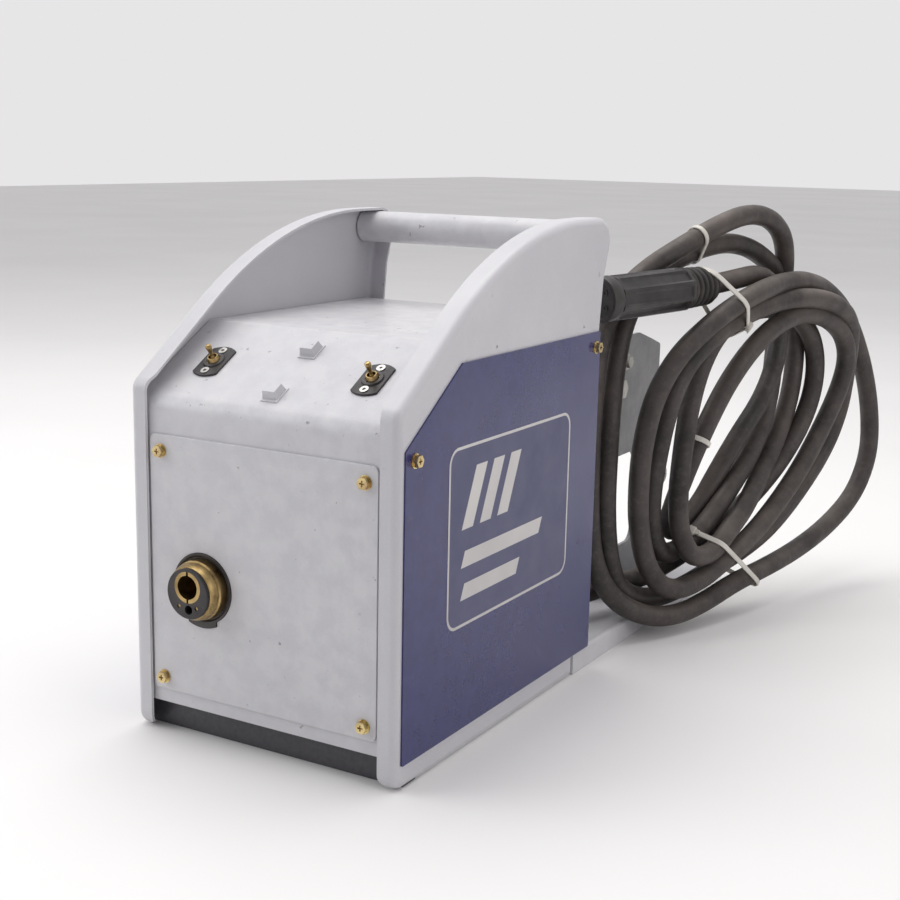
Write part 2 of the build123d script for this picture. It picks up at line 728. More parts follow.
GLAND_END = 322.0
with BuildPart() as cable_gland:
    with BuildSketch(Plane.XZ.offset(-back(BULKHEAD - 6))):
        with Locations(GLAND_AT):
            Circle(GLAND_R - 0.1)
    extrude(amount=-(BULKHEAD_SHEET + 8))
    with BuildSketch(Plane.XZ.offset(-back(BULKHEAD + BULKHEAD_SHEET))):
        with Locations(GLAND_AT):
            RegularPolygon(17, 6)
    extrude(amount=-7)
    with BuildSketch(Plane.XZ.offset(-back(BULKHEAD + BULKHEAD_SHEET + 7))):
        with Locations(GLAND_AT):
            Circle(15)
    extrude(amount=-(GLAND_END - BULKHEAD - BULKHEAD_SHEET - 7), taper=12)
    with BuildSketch(Plane.XZ.offset(-back(BULKHEAD - 7))):
        with Locations(GLAND_AT):
            Circle(CABLE_R - 1)
    extrude(amount=-20, mode=Mode.SUBTRACT)
save(cable_gland, "cable_gland")

with BuildPart() as gas_nipple:
    with BuildSketch(Plane.XZ.offset(-back(BULKHEAD))):
        with Locations(NIPPLE_AT):
            Circle(4.9)
    extrude(amount=-(BULKHEAD_SHEET + 0.1))
    with BuildSketch(Plane.XZ.offset(-back(BULKHEAD + BULKHEAD_SHEET))):
        with Locations(NIPPLE_AT):
            RegularPolygon(9, 6)
    extrude(amount=-6)
    for barb in range(4):
        with BuildSketch(Plane.XZ.offset(-back(BULKHEAD + BULKHEAD_SHEET + 6 + 5 * barb))):
            with Locations(NIPPLE_AT):
                Circle(4.6)
        extrude(amount=-5, taper=12)
    with BuildSketch(Plane.XZ.offset(-back(BULKHEAD - 1))):
        with Locations(NIPPLE_AT):
            Circle(2.2)
    extrude(amount=-40, mode=Mode.SUBTRACT)
save(gas_nipple, "gas_nipple")

with BuildPart() as control_receptacle:
    with BuildSketch(Plane.XZ.offset(-back(BULKHEAD - 12))):
        with Locations(RECEPTACLE_AT):
            Circle(11.8)
    extrude(amount=-(12 + BULKHEAD_SHEET + 0.1))
    with BuildSketch(Plane.XZ.offset(-back(BULKHEAD + BULKHEAD_SHEET))):
        with Locations(RECEPTACLE_AT):
            RectangleRounded(30, 30, 3)
    extrude(amount=-2.5)
    with BuildSketch(Plane.XZ.offset(-back(BULKHEAD + BULKHEAD_SHEET + 2.5))):
        with Locations(RECEPTACLE_AT):
            Circle(12.5)
            Circle(10.2, mode=Mode.SUBTRACT)
    extrude(amount=-10)
    with BuildSketch(Plane.XZ.offset(-back(BULKHEAD + BULKHEAD_SHEET + 2.5))):
        with Locations(RECEPTACLE_AT):
            with PolarLocations(6.2, 5):
                Circle(1.1)
    extrude(amount=-7)
save(control_receptacle, "control_receptacle")

# ---------------------------------------------------------------------------------------------
# Wire drive: plate, motor, rolls, pressure arm
# ---------------------------------------------------------------------------------------------
PLATE_LEFT = -36.0
PLATE_RIGHT = PLATE_LEFT + PLATE
ROLL_R = 20.0
NIP = 1.0
FEED_AT = (150.0, WIRE_Z - ROLL_R - NIP / 2)
PRESS_AT = (150.0, WIRE_Z + ROLL_R + NIP / 2)
GEAR_R = 20.1
SHAFT_R = 5.0
FIT = 0.05
ARM_PIVOT = (192.0, 150.0)
ARM_PIN_R = 4.0
ROD_PIVOT = (102.0, 88.0)
ROD_X = -67.0
ROD_R = 2.8

BOARD_X = -8.0
BOARD_Y = (90.0, 272.0)
BOARD_Z = (150.0, 268.0)
board_mid = (back(sum(BOARD_Y) / 2), sum(BOARD_Z) / 2)
STANDOFF_GRID = (BOARD_Y[1] - BOARD_Y[0] - 16, BOARD_Z[1] - BOARD_Z[0] - 16)

with BuildPart() as drive_plate:
    with BuildSketch(plan_yz(PLATE_LEFT)):
        with BuildLine():
            Polyline(
                (back(62), BASE_TOP),
                (back(290), BASE_TOP),
                (back(290), 285),
                (back(110), 285),
                (back(62), 248),
                close=True,
            )
        make_face()
        with Locations((back(FEED_AT[0]), FEED_AT[1])):
            Circle(SHAFT_R + 1.5, mode=Mode.SUBTRACT)
        with Locations((back(ARM_PIVOT[0]), ARM_PIVOT[1])):
            Circle(ARM_PIN_R, mode=Mode.SUBTRACT)
        with Locations((back(ROD_PIVOT[0]), ROD_PIVOT[1])):
            Circle(4.0, mode=Mode.SUBTRACT)
    extrude(amount=PLATE)
    with BuildSketch(Plane.XY.offset(BASE_TOP)):
        with Locations((PLATE_RIGHT + 8, back(240)), (PLATE_RIGHT + 8, back(90))):
            Rectangle(18, 60)
    extrude(amount=PLATE)
    with BuildSketch(plan_yz(PLATE_RIGHT)):
        with Locations(board_mid):
            with GridLocations(*STANDOFF_GRID, 2, 2):
                RegularPolygon(3.5, 6)
    extrude(amount=BOARD_X - PLATE_RIGHT)
save(drive_plate, "drive_plate")

GEARBOX_WIDE = 35.0
with BuildPart() as gearbox:
    with BuildSketch(plan_yz(PLATE_RIGHT)):
        with Locations((back(FEED_AT[0]), FEED_AT[1])):
            RectangleRounded(62, 62, 6)
            Circle(SHAFT_R + FIT, mode=Mode.SUBTRACT)
    extrude(amount=GEARBOX_WIDE)
    chamfer(gearbox.faces().sort_by(Axis.X)[-1].outer_wire().edges(), 1.5)
save(gearbox, "gearbox")

MOTOR_LONG = 72.0
with BuildPart() as motor:
    with BuildSketch(plan_yz(PLATE_RIGHT + GEARBOX_WIDE)):
        with Locations((back(FEED_AT[0]), FEED_AT[1])):
            Circle(31)
    extrude(amount=MOTOR_LONG)
    fillet(motor.faces().sort_by(Axis.X)[-1].edges(), 3)
    with BuildSketch(plan_yz(PLATE_RIGHT + GEARBOX_WIDE + MOTOR_LONG)):
        with Locations((back(FEED_AT[0]), FEED_AT[1])):
            Circle(10)
    extrude(amount=6)
save(motor, "motor")


def gear_disc(centre, x, thick, bore):
    """A toothed disc whose teeth are notches cut into its rim."""
    with BuildPart(mode=Mode.PRIVATE) as gear:
        with BuildSketch(plan_yz(x)):
            with Locations((back(centre[0]), centre[1])):
                Circle(GEAR_R)
                with PolarLocations(GEAR_R + 0.6, 30):
                    Circle(1.3, mode=Mode.SUBTRACT)
                Circle(bore, mode=Mode.SUBTRACT)
        extrude(amount=thick)
    return gear.part


def grooved_roll(centre, x, thick, bore, groove_x):
    """A roll with a V groove round its rim for the wire."""
    with BuildPart(mode=Mode.PRIVATE) as roll:
        with BuildSketch(plan_yz(x)):
            with Locations((back(centre[0]), centre[1])):
                Circle(ROLL_R)
                Circle(bore, mode=Mode.SUBTRACT)
        extrude(amount=thick)
        section = Plane(origin=(groove_x, back(centre[0]), centre[1]), x_dir=(1, 0, 0), z_dir=(0, -1, 0))
        with BuildSketch(section):
            with BuildLine():
                Polyline((-1.1, ROLL_R + 0.5), (1.1, ROLL_R + 0.5), (0, ROLL_R - 1.0), close=True)
            make_face()
        revolve(axis=Axis(section.origin, (1, 0, 0)), mode=Mode.SUBTRACT)
    return roll.part


ROLL_LEFT, ROLL_THICK = -58.0, 12.0
GEAR_LEFT, GEAR_THICK = -45.6, 5.0

with BuildPart() as feed_roll:
    add(grooved_roll(FEED_AT, ROLL_LEFT, ROLL_THICK, SHAFT_R, CONNECTOR_X))
save(feed_roll, "feed_roll")
with BuildPart() as feed_shaft:
    # gearbox output shaft with the feed gear keyed on it
    with BuildSketch(plan_yz(-66)):
        with Locations((back(FEED_AT[0]), FEED_AT[1])):
            Circle(SHAFT_R)
    extrude(amount=66 - 25)
    add(gear_disc(FEED_AT, GEAR_LEFT, GEAR_THICK, SHAFT_R - 1))
save(feed_shaft, "feed_shaft")
with BuildPart() as feed_nut:
    with BuildSketch(plan_yz(ROLL_LEFT)):
        with Locations((back(FEED_AT[0]), FEED_AT[1])):
            Circle(9.5)
            with PolarLocations(9.5, 24):
                Circle(0.55, mode=Mode.SUBTRACT)
            Circle(SHAFT_R, mode=Mode.SUBTRACT)
    extrude(amount=-6)
save(feed_nut, "feed_nut")

ROLL_PIN_R = 4.0
with BuildPart() as pressure_roll:
    add(grooved_roll(PRESS_AT, ROLL_LEFT, ROLL_THICK, ROLL_PIN_R + FIT, CONNECTOR_X))
    add(gear_disc(PRESS_AT, GEAR_LEFT, GEAR_THICK, ROLL_PIN_R + FIT))
    with BuildSketch(plan_yz(GEAR_LEFT)):
        with Locations((back(PRESS_AT[0]), PRESS_AT[1])):
            Circle(9)
            Circle(ROLL_PIN_R + FIT, mode=Mode.SUBTRACT)
    extrude(amount=ROLL_LEFT + ROLL_THICK - GEAR_LEFT)
save(pressure_roll, "pressure_roll")

ARM_LEFT, ARM_RIGHT = -72.0, -62.0
NOSE = (91.0, 112.0, 151.0, 160.0)
with BuildPart() as pressure_arm:
    with BuildSketch(plan_yz(ARM_LEFT)):
        with Locations((back(ARM_PIVOT[0]), ARM_PIVOT[1]), (back(PRESS_AT[0]), PRESS_AT[1] + 2)):
            Circle(9.5)
        with BuildLine():
            Polyline(
                (back(ARM_PIVOT[0]), ARM_PIVOT[1] + 9.5),
                (back(ARM_PIVOT[0] + 2), ARM_PIVOT[1] - 9),
                (back(PRESS_AT[0]), PRESS_AT[1] - 7.5),
                (back(NOSE[1] + 6), PRESS_AT[1] + 2),
                (back(NOSE[1] - 8), NOSE[2]),
                (back(NOSE[1] - 8), NOSE[3]),
                (back(150), 164),
                close=True,
            )
        make_face()
    extrude(amount=ARM_RIGHT - ARM_LEFT)
    with BuildSketch(Plane.XY.offset(NOSE[2])):
        with Locations((ROD_X, back((NOSE[0] + NOSE[1]) / 2))):
            Rectangle(17, NOSE[1] - NOSE[0])
    extrude(amount=NOSE[3] - NOSE[2])
    fillet(pressure_arm.edges().filter_by(Axis.Z).group_by(Axis.Y)[0], 3)
    with BuildSketch(Plane.XY.offset(NOSE[2] - 12)):
        with Locations((ROD_X, back(ROD_PIVOT[0] - 20))):
            Rectangle(7.4, 40 + 7.4)
        with Locations((ROD_X, back(ROD_PIVOT[0]))):
            Circle(3.7)
    extrude(amount=30, mode=Mode.SUBTRACT)
    with BuildSketch(plan_yz(ARM_LEFT - 1)):
        with Locations((back(ARM_PIVOT[0]), ARM_PIVOT[1])):
            Circle(ARM_PIN_R + FIT)
        with Locations((back(PRESS_AT[0]), PRESS_AT[1])):
            Circle(ROLL_PIN_R)
    extrude(amount=12, mode=Mode.SUBTRACT)
save(pressure_arm, "pressure_arm")

with BuildPart() as roll_pin:
    with BuildSketch(plan_yz(ARM_LEFT - 1)):
        with Locations((back(PRESS_AT[0]), PRESS_AT[1])):
            Circle(ROLL_PIN_R)
    extrude(amount=GEAR_LEFT + GEAR_THICK + 1 - ARM_LEFT + 1)
    with BuildSketch(plan_yz(ARM_LEFT)):
        with Locations((back(PRESS_AT[0]), PRESS_AT[1])):
            Circle(6)
    extrude(amount=-2)
save(roll_pin, "roll_pin")

with BuildPart() as pivot_pins:
    # the pressure arm's pin
    with BuildSketch(plan_yz(ARM_LEFT - 3)):
        with Locations((back(ARM_PIVOT[0]), ARM_PIVOT[1])):
            Circle(ARM_PIN_R)
    extrude(amount=PLATE_RIGHT - ARM_LEFT + 3)
    with BuildSketch(plan_yz(ARM_RIGHT + GAP)):
        with Locations((back(ARM_PIVOT[0]), ARM_PIVOT[1])):
            Circle(8)
    extrude(amount=PLATE_LEFT - ARM_RIGHT - GAP)
    with BuildSketch(plan_yz(ARM_LEFT - GAP)):
        with Locations((back(ARM_PIVOT[0]), ARM_PIVOT[1])):
            Circle(6.5)
    extrude(amount=-2.5)
    # the tension rod's pin
    with BuildSketch(plan_yz(ROD_X + 4)):
        with Locations((back(ROD_PIVOT[0]), ROD_PIVOT[1])):
            Circle(8)
    extrude(amount=PLATE_LEFT - ROD_X - 4)
    with BuildSketch(plan_yz(ROD_X - 6)):
        with Locations((back(ROD_PIVOT[0]), ROD_PIVOT[1])):
            Circle(3.0)
    extrude(amount=16)
    with BuildSketch(plan_yz(ROD_X - 4)):
        with Locations((back(ROD_PIVOT[0]), ROD_PIVOT[1])):
            Circle(5.5)
    extrude(amount=-2.5)
save(pivot_pins, "pivot_pins")

ROD_TOP = 205.0
SPRING_FOOT = NOSE[3] + 1.0
SPRING_TOP = 181.0
with BuildPart() as tension_rod:
    with BuildSketch(plan_yz(ROD_X - 3.5)):
        with Locations((back(ROD_PIVOT[0]), ROD_PIVOT[1])):
            Circle(7)
            Circle(3.0 + FIT, mode=Mode.SUBTRACT)
    extrude(amount=7)
    with BuildSketch(Plane.XY.offset(ROD_PIVOT[1] + 6)):
        with Locations((ROD_X, back(ROD_PIVOT[0]))):
            Circle(ROD_R)
    extrude(amount=ROD_TOP - ROD_PIVOT[1] - 6)
save(tension_rod, "tension_rod")

with BuildPart() as tension_spring:
    with BuildSketch(Plane.XY.offset(SPRING_FOOT)):
        with Locations((ROD_X, back(ROD_PIVOT[0]))):
            Circle(7.0)
            Circle(ROD_R + 1.2, mode=Mode.SUBTRACT)
    extrude(amount=SPRING_TOP - SPRING_FOOT)
save(tension_spring, "tension_spring")

KNOB_TOP = 210.0
with BuildPart() as tension_knob:
    with BuildSketch(Plane.XY.offset(SPRING_TOP + 0.3)):
        with Locations((ROD_X, back(ROD_PIVOT[0]))):
            Circle(9)
            with PolarLocations(9.6, 12):
                Circle(1.4, mode=Mode.SUBTRACT)
    extrude(amount=KNOB_TOP - SPRING_TOP - 0.3)
    fillet(tension_knob.faces().sort_by(Axis.Z)[-1].edges(), 0.8)
    with BuildSketch(Plane.XY.offset(SPRING_TOP)):
        with Locations((ROD_X, back(ROD_PIVOT[0]))):
            Circle(ROD_R + FIT)
    extrude(amount=ROD_TOP - SPRING_TOP + 0.4, mode=Mode.SUBTRACT)
save(tension_knob, "tension_knob")


def guide_tube(sections, bore):
    """A straight guide along the wire, from (start, end, radius) stretches behind the front."""
    with BuildPart(mode=Mode.PRIVATE) as guide:
        for start, end, radius in sections:
            with BuildSketch(Plane.XZ.offset(-back(start))):
                with Locations((CONNECTOR_X, WIRE_Z)):
                    Circle(radius)
            extrude(amount=-(end - start))
        with BuildSketch(Plane.XZ.offset(-back(sections[0][0] - 1))):
            with Locations((CONNECTOR_X, WIRE_Z)):
                Circle(bore)
        extrude(amount=-300, mode=Mode.SUBTRACT)
    return guide.part


with BuildPart() as outlet_guide:
    add(guide_tube([(INSULATOR_REAR + 2, 64.0, GUIDE_BORE - 0.05), (64.0, 134.0, 4.4)], 1.6))
save(outlet_guide, "outlet_guide")
with BuildPart() as inlet_guide:
    add(
        guide_tube(
            [(166.0, 292.0, 4.4), (292.0, BULKHEAD, 11.0), (BULKHEAD, 306.0, 7.1), (306.0, 314.0, 11.0)],
            1.8,
        )
    )
save(inlet_guide, "inlet_guide")
# ---------------------------------------------------------------------------------------------
# Inside on the right: control board, gas valve and hose, bus bar
# ---------------------------------------------------------------------------------------------

with BuildPart() as control_board:
    with BuildSketch(plan_yz(BOARD_X)):
        with Locations(board_mid):
            Rectangle(BOARD_Y[1] - BOARD_Y[0], BOARD_Z[1] - BOARD_Z[0])
    extrude(amount=1.6)
save(control_board, "control_board")

with BuildPart() as board_parts:
    board_face = plan_yz(BOARD_X + 1.6)
    with BuildSketch(board_face):
        with Locations((back(130), 190), (back(130), 225)):
            Rectangle(30, 24)
    extrude(amount=18)
    with BuildSketch(board_face):
        with Locations((back(180), 200), (back(180), 232), (back(206), 232)):
            Circle(11)
    extrude(amount=34)
    with BuildSketch(board_face):
        with Locations((back(240), 205)):
            Rectangle(36, 60)
    extrude(amount=14)
    with BuildSketch(board_face):
        with Locations((back(180), 164)):
            Rectangle(110, 9)
    extrude(amount=12)
save(board_parts, "board_parts")

VALVE_HALF = 14.0
VALVE_FRONT = 262.0
with BuildPart() as gas_valve:
    with BuildSketch(Plane.XZ.offset(-back(VALVE_FRONT))):
        with Locations(NIPPLE_AT):
            Rectangle(2 * VALVE_HALF, 22)
    extrude(amount=-(BULKHEAD - VALVE_FRONT))
    with BuildSketch(Plane.XZ.offset(-back(VALVE_FRONT))):
        with Locations(NIPPLE_AT):
            Circle(5)
    extrude(amount=6)
    with BuildSketch(Plane.XY.offset(NIPPLE_AT[1] + 11)):
        with Locations((NIPPLE_AT[0], back(281))):
            RectangleRounded(26, 30, 3)
    extrude(amount=34)
save(gas_valve, "gas_valve")

HOSE_R = 4.0
hose_route = [
    (NIPPLE_AT[0], back(VALVE_FRONT - 6), NIPPLE_AT[1]),
    (NIPPLE_AT[0], back(205), NIPPLE_AT[1]),
    (16, back(150), 52),
    (12, back(100), 55),
    (4, back(62), 76),
    (-10, back(42), 104),
    (CONNECTOR_X + BLOCK_HALF, back(42), 104),
]


def smooth_radii(route):
    """A bend radius for every inner point: as large as its two runs allow."""
    radii = []
    for before, here, after in zip(route, route[1:], route[2:]):
        first = Vector(*here) - Vector(*before)
        second = Vector(*after) - Vector(*here)
        turn = math.radians(first.get_angle(second))
        radii.append(0.45 * min(first.length, second.length) / math.tan(turn / 2))
    return radii


def cord_tube(route, radius):
    """A round cord along straight runs joined by tangent arcs; prints its tightest bend."""
    radii = smooth_radii(route)
    with BuildPart(mode=Mode.PRIVATE) as tube:
        with BuildLine() as path:
            FilletPolyline(*route, radius=radii)
        with BuildSketch(Plane(origin=path.line @ 0, z_dir=path.line % 0)):
            Circle(radius)
        sweep(path=path.line)
    length = path.wires()[0].length
    print("cord", round(length, 1), "mm, tightest bend", round(min(radii), 1))
    print("volume", round(tube.part.volume), "of", round(math.pi * radius**2 * length))
    return tube.part


with BuildPart() as gas_hose:
    add(cord_tube(hose_route, HOSE_R))
save(gas_hose, "gas_hose")

BAR_Z = 30.0
BAR = 3.0
BAR_WIDE = 20.0
BAR_X = 78.0
BAR_FRONT = 44.0
LUG_END = 258.0
with BuildPart() as bus_bar:
    with BuildSketch(Plane.XY.offset(BAR_Z)):
        with BuildLine():
            Polyline(
                (CONNECTOR_X - BAR_WIDE / 2, back(BAR_FRONT - 10)),
                (BAR_X + BAR_WIDE / 2, back(BAR_FRONT - 10)),
                (BAR_X + BAR_WIDE / 2, back(256)),
                (BAR_X - BAR_WIDE / 2, back(256)),
                (BAR_X - BAR_WIDE / 2, back(BAR_FRONT + 10)),
                (CONNECTOR_X - BAR_WIDE / 2, back(BAR_FRONT + 10)),
                close=True,
            )
        make_face()
    extrude(amount=BAR)
    with BuildSketch(Plane.XZ.offset(-back(BAR_FRONT - 10))):
        with Locations((CONNECTOR_X, (BAR_Z + CONNECTOR_Z - BLOCK_HALF) / 2)):
            Rectangle(BAR_WIDE, CONNECTOR_Z - BLOCK_HALF - BAR_Z)
    extrude(amount=-BAR)
    with BuildSketch(Plane.XZ.offset(-back(BAR_FRONT - 10))):
        with Locations((CONNECTOR_X, CONNECTOR_Z - BLOCK_HALF - BAR / 2)):
            Rectangle(BAR_WIDE, BAR)
    extrude(amount=-18)
    with BuildSketch(Plane.XY.offset(BAR_Z + BAR)):
        with Locations((BAR_X - 2, back(240))):
            RectangleRounded(BAR_WIDE, 32, 4)
    extrude(amount=BAR)
    with BuildSketch(Plane.XZ.offset(-back(LUG_END))):
        with Locations(GLAND_AT):
            Circle(CABLE_R - 1.1)
    extrude(amount=36)
save(bus_bar, "bus_bar")

# ---------------------------------------------------------------------------------------------
# Spool holder: bracket on the base, shaft, hub that turns with the wire spool
# ---------------------------------------------------------------------------------------------
HUB_AT = (469.0, 212.0)
BRACKET_X = 57.0
BRACKET_REAR = 571.0
BRACKET_FRONT = 412.0

with BuildPart() as spool_bracket:
    with BuildSketch(plan_yz(BRACKET_X)) as bracket_side:
        with BuildLine():
            Polyline(
                (back(BRACKET_FRONT), BASE_TOP),
                (back(BRACKET_REAR), BASE_TOP),
                (back(BRACKET_REAR), 244),
                (back(549), 251),
                (back(518), 260),
                (back(488), 260),
                (back(440), 232),
                close=True,
            )
        make_face()
        fillet(bracket_side.vertices().sort_by_distance((back(440), 232))[0], 20)
        fillet(bracket_side.vertices().sort_by_distance((back(BRACKET_REAR), 244))[0], 4)
        with Locations((back(HUB_AT[0]), HUB_AT[1])):
            Circle(5.1, mode=Mode.SUBTRACT)
        with Locations((back(489), 100)):
            RectangleRounded(60, 90, 12, mode=Mode.SUBTRACT)
        with Locations((back(488), 235)):
            Circle(3.0, mode=Mode.SUBTRACT)
    extrude(amount=PLATE)
    with BuildSketch(Plane.XY.offset(BASE_TOP)):
        with Locations((BRACKET_X - 12, back((BRACKET_FRONT + BRACKET_REAR) / 2))):
            Rectangle(24, BRACKET_REAR - BRACKET_FRONT)
        with Locations((BRACKET_X - 14, back(430)), (BRACKET_X - 14, back(552))):
            Circle(3.0, mode=Mode.SUBTRACT)
    extrude(amount=PLATE)
    with BuildSketch(Plane.XZ.offset(-back(BRACKET_REAR))):
        with Locations((BRACKET_X - 8, 80)):
            Rectangle(16, 120)
    extrude(amount=PLATE)
save(spool_bracket, "spool_bracket")


def hexagon_bolt(plane, across, head, washer_r, shank_r, shank):
    """Hexagon bolt with a washer; the plane lies on the plate, its normal pointing to the head."""
    with BuildPart(mode=Mode.PRIVATE) as bolt:
        with BuildSketch(plane):
            Circle(washer_r)
        extrude(amount=1.2)
        with BuildSketch(plane.offset(1.2)):
            RegularPolygon(across / math.sqrt(3), 6)
        extrude(amount=head)
        with BuildSketch(plane):
            Circle(shank_r)
        extrude(amount=-shank)
    return bolt.part


HUB_R = 25.0
HUB_FLANGE_R = 40.0
HUB_FACE = 2.0
HUB_END = -100.0
SHAFT_HALF = 10.0
with BuildPart() as spool_shaft:
    # spacer, axle and the bolt that holds them on the bracket
    with BuildSketch(plan_yz(BRACKET_X)):
        with Locations((back(HUB_AT[0]), HUB_AT[1])):
            Circle(16)
    extrude(amount=-(BRACKET_X - HUB_FACE - GAP))
    with BuildSketch(plan_yz(BRACKET_X)):
        with Locations((back(HUB_AT[0]), HUB_AT[1])):
            Circle(SHAFT_HALF)
    extrude(amount=-(BRACKET_X - HUB_END + 6))
    add(hexagon_bolt(along_x(BRACKET_X + PLATE, back(HUB_AT[0]), HUB_AT[1]), 17.0, 6.4, 10.0, 5.0, 4.0))
save(spool_shaft, "spool_shaft")

FINGER_X = HUB_END - 2.9
FINGER_Z = HUB_AT[1] + 18.0
FINGER_HALF = 6.0
LUG_OUTER = 9.0
hub_axis_x = plan_yz(HUB_FACE)
with BuildPart() as spool_hub:
    with BuildSketch(hub_axis_x):
        with Locations((back(HUB_AT[0]), HUB_AT[1])):
            Circle(HUB_FLANGE_R)
    extrude(amount=-4)
    with BuildSketch(hub_axis_x):
        with Locations((back(HUB_AT[0]), HUB_AT[1])):
            Circle(HUB_R)
    extrude(amount=-(HUB_FACE - HUB_END))
    chamfer(spool_hub.faces().sort_by(Axis.X)[0].edges(), 1.5)
    with BuildSketch(hub_axis_x):
        with Locations((back(HUB_AT[0]), HUB_AT[1])):
            Circle(SHAFT_HALF + FIT)
    extrude(amount=-(HUB_FACE - HUB_END), mode=Mode.SUBTRACT)
    # drive peg for the spool, and four long flutes round the barrel
    with BuildSketch(hub_axis_x.offset(-4)):
        with Locations((back(HUB_AT[0]), HUB_AT[1] - 33)):
            Circle(4.5)
    extrude(amount=-12)
    with BuildSketch(hub_axis_x.offset(-14)):
        with Locations((back(HUB_AT[0]), HUB_AT[1])):
            with PolarLocations(HUB_R, 4, start_angle=45):
                Rectangle(5, 12)
    extrude(amount=-(HUB_FACE - HUB_END - 24), mode=Mode.SUBTRACT)
    # two lugs on the end face for the retaining finger's pin
    for inner in (-LUG_OUTER, FINGER_HALF + GAP):
        with BuildSketch(Plane.XZ.offset(-(back(HUB_AT[0]) + inner))):
            with Locations(((HUB_END + FINGER_X) / 2 + 0.5, FINGER_Z)):
                Rectangle(HUB_END - FINGER_X + 1, 5)
            with Locations((FINGER_X, FINGER_Z)):
                Circle(2.5)
                Circle(PIN_R + PIN_FIT, mode=Mode.SUBTRACT)
        extrude(amount=-(LUG_OUTER - FINGER_HALF - GAP))
save(spool_hub, "spool_hub")

with BuildPart() as hub_lever:
    # retaining finger, hinged between the hub's lugs; swung out it lets the spool slide off
    with BuildSketch(Plane.XZ.offset(-(back(HUB_AT[0]) - FINGER_HALF))):
        with Locations((FINGER_X, FINGER_Z)):
            Circle(2.5)
        with Locations((FINGER_X, FINGER_Z + 10.5)):
            Rectangle(5, 21)
    extrude(amount=-2 * FINGER_HALF)
    with BuildSketch(Plane.XZ.offset(-(back(HUB_AT[0]) - LUG_OUTER))):
        with Locations((FINGER_X, FINGER_Z)):
            Circle(PIN_R)
    extrude(amount=-2 * LUG_OUTER)
save(hub_lever, "hub_lever")

with BuildPart() as hub_nut:
    with BuildSketch(plan_yz(HUB_END - 6)):
        with Locations((back(HUB_AT[0]), HUB_AT[1])):
            RegularPolygon(13, 6)
    extrude(amount=-6)
save(hub_nut, "hub_nut")

with BuildPart() as bracket_bolts:
    add(hexagon_bolt(along_x(BRACKET_X + PLATE, back(488), 235), 10.0, 4.2, 8.0, 2.9, PLATE + 4))
    for y in (430, 552):
        foot = Plane(origin=(BRACKET_X - 14, back(y), BASE_TOP + PLATE))
        add(hexagon_bolt(foot, 10.0, 4.2, 8.0, 2.9, PLATE - 0.1))
save(bracket_bolts, "bracket_bolts")

CLIP_AT = (566.0, 135.0)
with BuildPart() as cable_clip:
    # nylon saddle on the bracket's rear edge with its bolt
    with BuildSketch(plan_yz(BRACKET_X + PLATE)):
        with Locations((back(CLIP_AT[0]), CLIP_AT[1] - 12)):
            RectangleRounded(12, 34, 5)
    extrude(amount=3)
    with BuildSketch(plan_yz(BRACKET_X + PLATE)):
        with Locations((back(CLIP_AT[0]), CLIP_AT[1] - 22)):
            Circle(9)
            Circle(6, mode=Mode.SUBTRACT)
    extrude(amount=12)
    add(hexagon_bolt(along_x(BRACKET_X + PLATE + 3, back(CLIP_AT[0]), CLIP_AT[1]), 8.0, 3.5, 5.6, 2.0, 3))
save(cable_clip, "cable_clip")

# ---------------------------------------------------------------------------------------------
# Power cable: from the lug through the gland to the coil, the coil, and on to its plug
# ---------------------------------------------------------------------------------------------
COIL_AT = (125.0, 396.0)        # where the coil's plane stands on the ground, X and distance back
COIL_TURN = 72.37               # the coil's plane, turned from X towards the rear
along = (math.cos(math.radians(COIL_TURN)), math.sin(math.radians(COIL_TURN)), 0)
coil_plane = Plane(
    origin=(COIL_AT[0], back(COIL_AT[1]), 0), x_dir=along, z_dir=(along[1], -along[0], 0)
)
COIL_MID = (140.0, 170.0)
# radius of the middle of the strands and their spread either side, every 30 degrees from the rear
COIL_MEAN = [151, 139, 131, 130, 118, 125, 146, 180, 168, 125, 117, 139]
COIL_SPREAD = [51, 46, 25, 25, 40, 47, 50, 50, 16, 20, 35, 52]
COIL_CREST = [0, 0, 38, 54, 55, 37, 0, 0, 0, 0, 0, 0]
COIL_HALF = 28.0
PLUG_OUT = -2.0                 # the plug's axis, out of the coil's plane
PLUG_R = 18.3
RING_LONG = 13.0


def ring_points(side):
    """Points round the coil's outer (side 1) or inner (side -1) outline, in its plane."""
    points = []
    for step in range(12):
        turn = math.radians(30 * step)
        reach = COIL_MEAN[step] + side * (COIL_SPREAD[step] + CABLE_R)
        if side > 0:
            reach += COIL_CREST[step]
        points.append((COIL_MID[0] + reach * math.cos(turn), COIL_MID[1] + reach * math.sin(turn)))
    return points


with BuildPart() as power_cable_coil:
    with BuildSketch(coil_plane.offset(-COIL_HALF)):
        with BuildLine():
            Spline(*ring_points(1), periodic=True)
        make_face()
        with BuildLine():
            Spline(*ring_points(-1), periodic=True)
        make_face(mode=Mode.SUBTRACT)
    extrude(amount=2 * COIL_HALF)
    with BuildSketch(Plane.XY.offset(-60)):
        with Locations((COIL_AT[0], back(COIL_AT[1]))):
            Circle(500)
    extrude(amount=60.4, mode=Mode.SUBTRACT)
    with BuildSketch():
        with Locations((0, back(BASE_LENGTH / 2))):
            Rectangle(2 * HALF + 1, BASE_LENGTH)
    extrude(amount=BASE_TOP + 0.5, mode=Mode.SUBTRACT)
    # the strands pass behind the plug and its cable
    with BuildSketch(coil_plane.offset(PLUG_OUT - PLUG_R - 3.5)):
        with BuildLine():
            Polyline((-140, 279), (90, 287), (134, 303), (134, 336), (60, 342), (-140, 338), close=True)
        make_face()
    extrude(amount=2 * COIL_HALF, mode=Mode.SUBTRACT)
save(power_cable_coil, "power_cable_coil")

